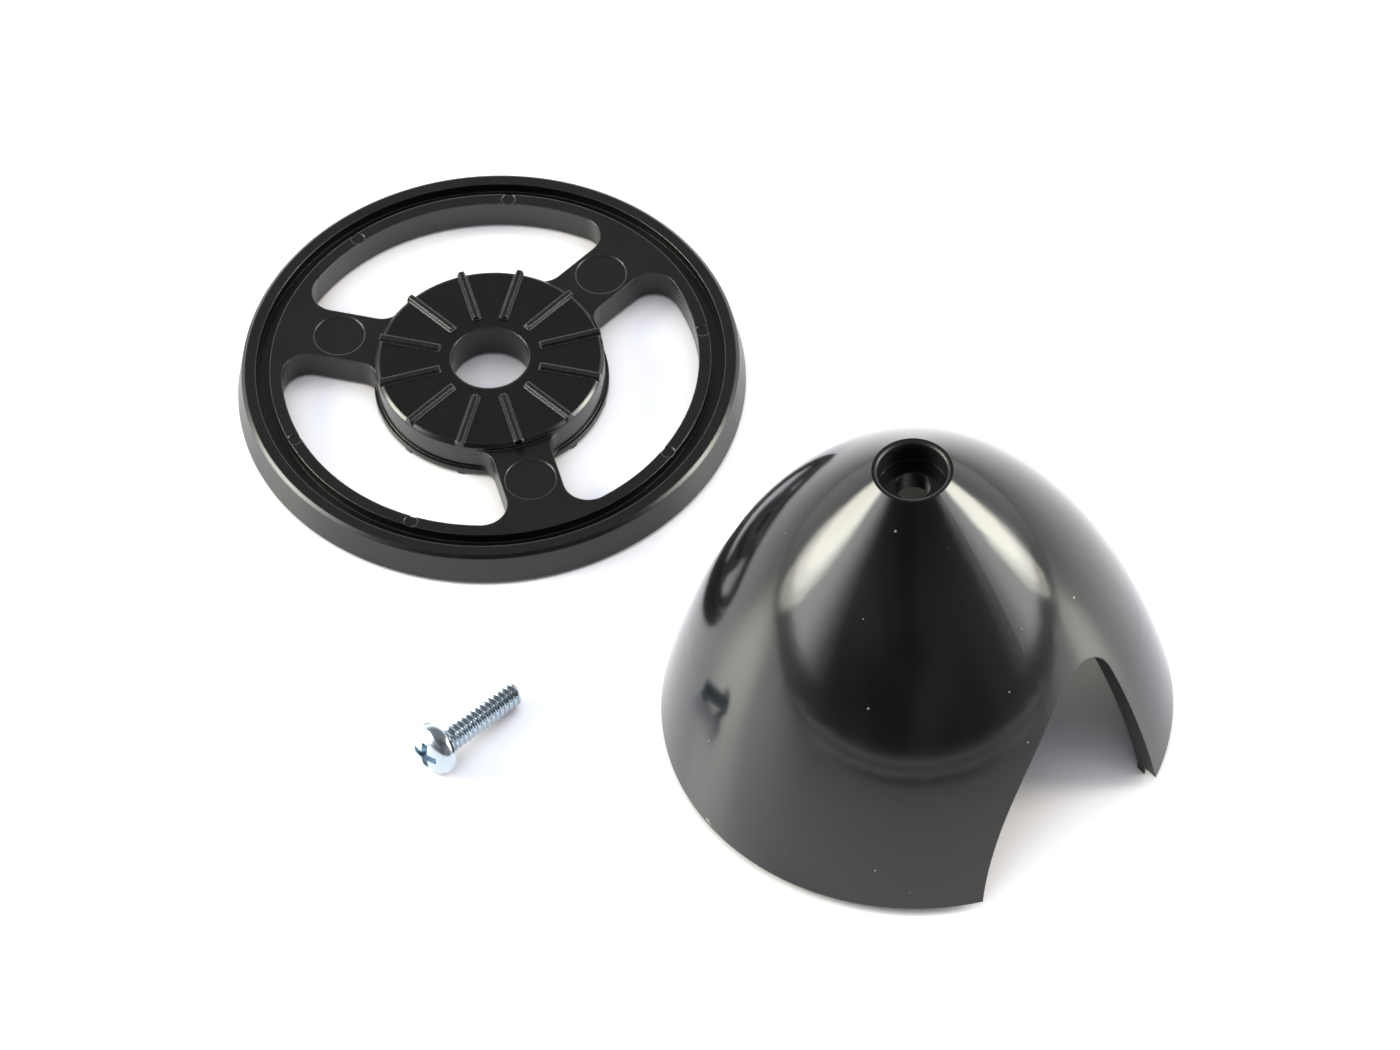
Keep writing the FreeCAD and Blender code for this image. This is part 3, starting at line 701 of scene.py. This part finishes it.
        grid = add_node(tree, "GeometryNodeMeshGrid", {
            "Size X": 1.0, "Size Y": 1.0, "Vertices X": value["columns"], "Vertices Y": value["rows"],
        })
        place = add_node(tree, "ShaderNodeCombineXYZ", {
            "X": value["x"], "Y": value["y"], "Z": value["height"],
        })
        rolled = add_node(tree, "GeometryNodeSetPosition", {
            "Geometry": grid.outputs["Mesh"], "Position": place.outputs["Vector"],
        })
        joined = add_node(tree, "GeometryNodeMergeByDistance", {
            "Geometry": rolled.outputs["Geometry"], "Distance": WELD / 2,
        })
        real = add_node(tree, "GeometryNodeRealizeInstances", {"Geometry": joined.outputs["Geometry"]})
        painted = add_node(tree, "GeometryNodeSetMaterial", {
            "Geometry": real.outputs["Geometry"], "Material": value["Material"],
        })
        add_node(tree, "NodeGroupOutput", {"Geometry": painted.outputs["Geometry"]})
        return tree

    def thread(self, material: bpy.types.Material) -> bpy.types.Mesh:
        """Roll the threaded shank.

        Args:
            material: the finish of the screw.

        Returns:
            The shank from the seat to the tip, as a plain mesh.
        """
        tree = self.thread_tree()
        holder = new_piece("thread_holder", bpy.data.meshes.new("thread_holder"), material)
        modifier = holder.modifiers.new("thread", "NODES")
        modifier.node_group = tree
        values = {
            "Material": material, "Pitch": self.pitch * MM, "Length": self.length * MM,
            "Plain Neck": self.plain_neck * MM, "Outer Radius": self.thread_diameter / 2 * MM,
            "Root Radius": self.root_diameter / 2 * MM, "Tip Chamfer": self.tip_chamfer * MM,
            "Turns": math.ceil(self.length / self.pitch) + self.spare_turns,
            "Steps Per Turn": self.turn_steps,
            "Profile Steps": self.profile_steps,
        }
        for item in tree.interface.items_tree:
            if item.in_out == "INPUT":
                modifier[item.identifier] = values[item.name]
        mesh = as_plain_mesh(holder)
        bpy.data.objects.remove(holder)
        return mesh

    def head_profile(self) -> list[tuple[float, float]]:
        """Work out the head's outline.

        Returns:
            Radius and height in mm, from the dome's top round the rim to inside the shank.
        """
        rim, rise = self.head_diameter / 2, self.head_height - self.head_edge
        power = 2 / self.head_fullness
        dome = [(rim * math.sin(turn) ** power, -self.head_edge - rise * math.cos(turn) ** power)
                for turn in (math.pi / 2 * i / self.dome_steps for i in range(self.dome_steps))]
        edge, corner = self.edge_round, self.edge_round * self.corner_share
        neck = self.root_diameter / 2 * self.neck_share
        return dome + [(rim, -self.head_edge), (rim, -edge), (rim - corner, -corner), (rim - edge, 0.0),
                       (neck, 0.0)]

    def head(self, material: bpy.types.Material) -> bpy.types.Mesh:
        """Turn the domed head and press its recess.

        Args:
            material: the finish of the screw.

        Returns:
            The head as a plain mesh.
        """
        mesh = bpy.data.meshes.new("screw_head")
        solid = bmesh.new()
        outline = [solid.verts.new((r * MM, 0.0, z * MM)) for r, z in self.head_profile()]
        edges = [solid.edges.new(pair) for pair in zip(outline, outline[1:])]
        bmesh.ops.spin(solid, geom=outline + edges, cent=(0, 0, 0), axis=(0, 0, 1),
                       angle=math.tau, steps=self.head_steps, use_duplicate=False)
        bmesh.ops.remove_doubles(solid, verts=solid.verts, dist=WELD)
        bmesh.ops.holes_fill(solid, edges=[e for e in solid.edges if e.is_boundary])
        bmesh.ops.recalc_face_normals(solid, faces=solid.faces)
        solid.to_mesh(mesh)
        solid.free()
        piece = new_piece("head_holder", mesh, material)
        cutter = new_piece("recess_cutter", self.recess_cutter(), material)
        cut = piece.modifiers.new("recess", "BOOLEAN")
        cut.operation = "DIFFERENCE"
        cut.solver = "EXACT"
        cut.object = cutter
        shaped = as_plain_mesh(piece)
        bpy.data.objects.remove(piece)
        bpy.data.objects.remove(cutter)
        return shaped

    def recess_cutter(self) -> bpy.types.Mesh:
        """Build the cross that is pressed into the head, narrowing as it goes in.

        Returns:
            The cross as a closed mesh.
        """
        arm, span = self.recess_arm / 2, self.recess_span / 2
        outline = [(span, -arm), (span, arm), (arm, arm), (arm, span), (-arm, span), (-arm, arm),
                   (-span, arm), (-span, -arm), (-arm, -arm), (-arm, -span), (arm, -span), (arm, -arm)]
        levels = ((-self.head_height - self.cutter_overshoot, self.recess_mouth),
                  (-self.head_height + self.recess_depth, self.recess_floor))
        mesh = bpy.data.meshes.new("recess_cutter")
        solid = bmesh.new()
        mouth, floor = [[solid.verts.new((x * share * MM, y * share * MM, z * MM)) for x, y in outline]
                        for z, share in levels]
        for wall in zip(mouth, mouth[1:] + mouth[:1], floor[1:] + floor[:1], floor):
            solid.faces.new(wall)
        solid.faces.new(list(reversed(mouth)))
        solid.faces.new(floor)
        bmesh.ops.recalc_face_normals(solid, faces=solid.faces)
        solid.to_mesh(mesh)
        solid.free()
        return mesh

    def build(self) -> list[bpy.types.Object]:
        """Join the thread and the head and lay the screw in its place.

        Returns:
            The one piece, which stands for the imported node.
        """
        material = BrightZincPlate().material()
        solid = bmesh.new()
        solid.from_mesh(self.thread(material))
        bmesh.ops.holes_fill(solid, edges=[e for e in solid.edges if e.is_boundary])
        bmesh.ops.recalc_face_normals(solid, faces=solid.faces)
        solid.from_mesh(self.head(material))
        mesh = bpy.data.meshes.new("threaded_nose_screw")
        solid.to_mesh(mesh)
        solid.free()
        mesh.transform(self.placement())
        shade_by_angle(mesh, self.smooth_angle)
        piece = new_piece("threaded_nose_screw", mesh, material)
        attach(piece, Body.ROOT.value)
        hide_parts("nose_screw")
        return [piece]


# Studio, with sizes in metres and angles in degrees ------------------------------------------------------

@dataclass(frozen=True)
class SoftBox:
    """An upright, rounded soft box beside the table, brightest in its middle."""

    name: str
    azimuth: float
    distance: float = 0.7
    low_elevation: float = 2.5
    high_elevation: float = 46.0
    spread: float = 34.0
    radiance: float = 14.5
    colour: str = "#fffdec"
    layers: tuple[float, ...] = (1.0, 0.84, 0.68)
    layer_gap: float = 0.001

    def build(self, centre: Vector) -> None:
        """Stand the soft box round a point, facing it, as layers that add up toward its middle.

        Args:
            centre: the point that the angles are seen from.
        """
        way = Vector((math.sin(math.radians(self.azimuth)), math.cos(math.radians(self.azimuth)), 0.0))
        low = math.tan(math.radians(self.low_elevation)) * self.distance
        high = math.tan(math.radians(self.high_elevation)) * self.distance
        width = 2 * math.tan(math.radians(self.spread / 2)) * self.distance
        for index, share in enumerate(self.layers):
            lamp = bpy.data.lights.new(f"{self.name}_{index}", "AREA")
            lamp.shape = "ELLIPSE"
            lamp.size, lamp.size_y = width * share, (high - low) * share
            area = math.pi / 4 * lamp.size * lamp.size_y
            lamp.energy = self.radiance / len(self.layers) * math.pi * area
            lamp.color = linear(self.colour)[:3]
            panel = bpy.data.objects.new(lamp.name, lamp)
            reach = self.distance + index * self.layer_gap
            panel.location = centre + way * reach + Vector((0.0, 0.0, (low + high) / 2))
            panel.rotation_euler = (-way).to_track_quat("-Z", "Y").to_euler()
            panel.visible_camera = False
            bpy.context.scene.collection.objects.link(panel)


@dataclass(frozen=True)
class SoftEdge:
    """A soft edge of something in the room: an axis of the view, where it begins and where it is full."""

    axis: str
    begins: float
    full: float


@dataclass(frozen=True)
class RoomPart:
    """A part of the room that a gloss shows: its brightness and the soft edges that bound it."""

    level: float
    edges: tuple[SoftEdge, ...]

    def share(self, tree: bpy.types.NodeTree, way: bpy.types.NodeOutputs,
              start: bpy.types.NodeSocket | None = None) -> bpy.types.NodeSocket:
        """Build how much of the part is seen in each direction.

        Args:
            tree: the world's node tree.
            way: the three shares of the direction.
            start: a share that the edges narrow further.

        Returns:
            The share, from 0 to 1.
        """
        share = start
        for edge in self.edges:
            inside = add_node(tree, "ShaderNodeMapRange", {
                "Value": way[edge.axis], "From Min": edge.begins, "From Max": edge.full,
            }, interpolation_type="SMOOTHSTEP").outputs["Result"]
            if share is not None:
                inside = add_node(tree, "ShaderNodeMath", {0: share, 1: inside},
                                  operation="MULTIPLY").outputs[0]
            share = inside
        return share


@dataclass(frozen=True)
class Room:
    """What surrounds the table: a white sheet behind it and a dark room in front and above."""

    ambient: float = 0.55
    ambient_colour: str = "#dfe7ff"
    dark_low: float = 0.12
    dark_high: float = 0.32
    cloud_scale: float = 1.6
    cloud_low: float = 0.35
    cloud_high: float = 0.65
    side: RoomPart = RoomPart(0.8, (SoftEdge("Y", -0.9, 0.0),))
    ceiling: RoomPart = RoomPart(0.35, (SoftEdge("Z", 0.4, 0.8),))
    sheet: RoomPart = RoomPart(1.8, (SoftEdge("Y", 0.1, 0.6), SoftEdge("Z", 0.65, 0.3)))
    halo: RoomPart = RoomPart(5.0, (SoftEdge("Z", 0.05, 0.12), SoftEdge("Z", 0.78, 0.6)))
    halo_azimuth: float = 95.5
    halo_reach: float = 40.0
    halo_core: float = 6.0
    halo_falloff: float = 2.0
    far_band: RoomPart = RoomPart(
        1.8, (SoftEdge("Z", -0.055, -0.045), SoftEdge("Z", -0.022, -0.032), SoftEdge("Y", -0.2, -0.6)))
    near_band: RoomPart = RoomPart(
        1.8, (SoftEdge("Z", -0.102, -0.092), SoftEdge("Z", -0.068, -0.078), SoftEdge("Y", -0.2, -0.6)))

    def halo_spread(self, tree: bpy.types.NodeTree, way: bpy.types.NodeOutputs) -> bpy.types.NodeSocket:
        """Build how the halo beside each soft box fades to both sides.

        Args:
            tree: the world's node tree.
            way: the three shares of the direction.

        Returns:
            The halo's share by azimuth alone.
        """
        azimuth = add_node(tree, "ShaderNodeMath", {0: way["X"], 1: way["Y"]}, operation="ARCTAN2").outputs[0]
        azimuth = add_node(tree, "ShaderNodeMath", {0: azimuth}, operation="ABSOLUTE").outputs[0]
        aside = add_node(tree, "ShaderNodeMath", {0: azimuth, 1: math.radians(self.halo_azimuth)},
                         operation="SUBTRACT").outputs[0]
        aside = add_node(tree, "ShaderNodeMath", {0: aside}, operation="ABSOLUTE").outputs[0]
        core = add_node(tree, "ShaderNodeMapRange", {
            "Value": aside,
            "From Min": math.radians(self.halo_reach), "From Max": math.radians(self.halo_core),
        }, interpolation_type="SMOOTHSTEP").outputs["Result"]
        return add_node(tree, "ShaderNodeMath", {0: core, 1: self.halo_falloff}, operation="POWER").outputs[0]

    def gloss(self, tree: bpy.types.NodeTree) -> bpy.types.NodeSocket:
        """Build what a gloss sees of the room.

        Args:
            tree: the world's node tree.

        Returns:
            The brightness of the room in each direction.
        """
        place = add_node(tree, "ShaderNodeTexCoord").outputs["Generated"]
        way = add_node(tree, "ShaderNodeSeparateXYZ", {"Vector": place}).outputs
        cloud = add_node(tree, "ShaderNodeTexNoise", {
            "Vector": place, "Scale": self.cloud_scale, "Detail": 2.0,
        })
        shade = add_node(tree, "ShaderNodeMapRange", {
            "Value": cloud.outputs["Fac"], "From Min": self.cloud_low, "From Max": self.cloud_high,
            "To Min": self.dark_low, "To Max": self.dark_high,
        }, interpolation_type="SMOOTHSTEP").outputs["Result"]
        for part in (self.side, self.sheet):
            shade = add_node(tree, "ShaderNodeMapRange", {
                "Value": part.share(tree, way), "To Min": shade, "To Max": part.level,
            }).outputs["Result"]
        dimmed = add_node(tree, "ShaderNodeMapRange", {
            "Value": self.ceiling.share(tree, way), "To Min": 1.0, "To Max": self.ceiling.level,
        })
        shade = add_node(tree, "ShaderNodeMath", {0: shade, 1: dimmed.outputs["Result"]},
                         operation="MULTIPLY").outputs[0]
        for part, start in ((self.halo, self.halo_spread(tree, way)), (self.far_band, None),
                            (self.near_band, None)):
            shade = add_node(tree, "ShaderNodeMath", {
                0: part.share(tree, way, start), 1: part.level, 2: shade,
            }, operation="MULTIPLY_ADD").outputs[0]
        return shade

    def build(self) -> None:
        """Set the world, white where it is looked at and shaded as a room in a gloss."""
        world = bpy.data.worlds.new("room")
        world.use_nodes = True
        tree = world.node_tree
        tree.nodes.clear()
        path = add_node(tree, "ShaderNodeLightPath").outputs
        soft = add_node(tree, "ShaderNodeBackground", {
            "Color": linear(self.ambient_colour), "Strength": self.ambient,
        })
        gloss = add_node(tree, "ShaderNodeBackground", {
            "Color": (1.0, 1.0, 1.0, 1.0), "Strength": self.gloss(tree),
        })
        white = add_node(tree, "ShaderNodeBackground", {"Color": (1.0, 1.0, 1.0, 1.0), "Strength": 1.0})
        seen = add_node(tree, "ShaderNodeMath", {0: path["Is Camera Ray"], 1: path["Is Transmission Ray"]},
                        operation="MAXIMUM").outputs[0]
        room = add_node(tree, "ShaderNodeMixShader", {
            0: path["Is Glossy Ray"], 1: soft.outputs["Background"], 2: gloss.outputs["Background"],
        })
        both = add_node(tree, "ShaderNodeMixShader", {
            0: seen, 1: room.outputs["Shader"], 2: white.outputs["Background"],
        })
        add_node(tree, "ShaderNodeOutputWorld", {"Surface": both.outputs["Shader"]})
        world.cycles.sampling_method = "NONE"
        bpy.context.scene.world = world


@dataclass(frozen=True)
class Studio:
    """Camera, table, soft boxes and room round the object."""

    distance: float = 0.85076
    elevation: float = 51.39
    roll: float = -2.926
    aim_right: float = 0.00032
    aim_back: float = 0.0021
    lens: float = 217.28
    table_half: float = 1.5
    table_front: float = 0.16
    left_box: SoftBox = SoftBox("left_soft_box", -83.0)
    right_box: SoftBox = SoftBox("right_soft_box", 87.0, spread=25.0, high_elevation=43.0)

    def build(self, low: Vector, high: Vector) -> None:
        """Set up the studio round the object's box.

        Args:
            low: lowest corner of the object.
            high: highest corner of the object.
        """
        middle = Vector(((low.x + high.x) / 2, (low.y + high.y) / 2, low.z))
        self.camera(middle + Vector((self.aim_right, self.aim_back, 0.0)))
        self.table(middle)
        for box in (self.left_box, self.right_box):
            box.build(middle)
        Room().build()
        bpy.context.scene.view_settings.view_transform = "Standard"

    def camera(self, aim: Vector) -> None:
        """Aim the camera from in front and above.

        Args:
            aim: the point of the table in the middle of the frame.
        """
        tilt, roll = math.radians(self.elevation), math.radians(self.roll)
        ahead = Vector((0.0, math.cos(tilt), -math.sin(tilt)))
        right = Vector((1.0, 0.0, 0.0))
        up = right.cross(ahead)
        across = right * math.cos(roll) + up * math.sin(roll)
        upright = up * math.cos(roll) - right * math.sin(roll)
        data = bpy.data.cameras.new("camera")
        data.lens = self.lens
        camera = bpy.data.objects.new("camera", data)
        turn = Matrix((across, upright, -ahead)).transposed().to_4x4()
        camera.matrix_world = Matrix.Translation(aim - ahead * self.distance) @ turn
        bpy.context.scene.collection.objects.link(camera)
        bpy.context.scene.camera = camera

    def table(self, middle: Vector) -> None:
        """Lay the white table under the object.

        Args:
            middle: the point of the table under the middle of the object.
        """
        mesh = bpy.data.meshes.new("table")
        half, front = self.table_half, -self.table_front
        corners = [(-half, front, 0.0), (half, front, 0.0), (half, half, 0.0), (-half, half, 0.0)]
        mesh.from_pydata(corners, [], [(0, 1, 2, 3)])
        mesh.materials.append(WhiteTable().material())
        table = bpy.data.objects.new("table", mesh)
        table.location = middle
        bpy.context.scene.collection.objects.link(table)
        table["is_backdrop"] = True


def report(piece: bpy.types.Object) -> None:
    """Log a finished piece and its number of triangles."""
    piece.data.calc_loop_triangles()
    LOG.info("%s: %d triangles", piece.name, len(piece.data.loop_triangles))


def main() -> None:
    """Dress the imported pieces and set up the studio."""
    logging.basicConfig(level=logging.INFO, format="%(message)s")
    cad_low, cad_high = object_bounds()
    for part in (Backplate(), SpinnerCone(), NoseScrew()):
        for piece in part.build():
            report(piece)
    Studio().build(cad_low, cad_high)


if __name__ == "__main__":
    main()
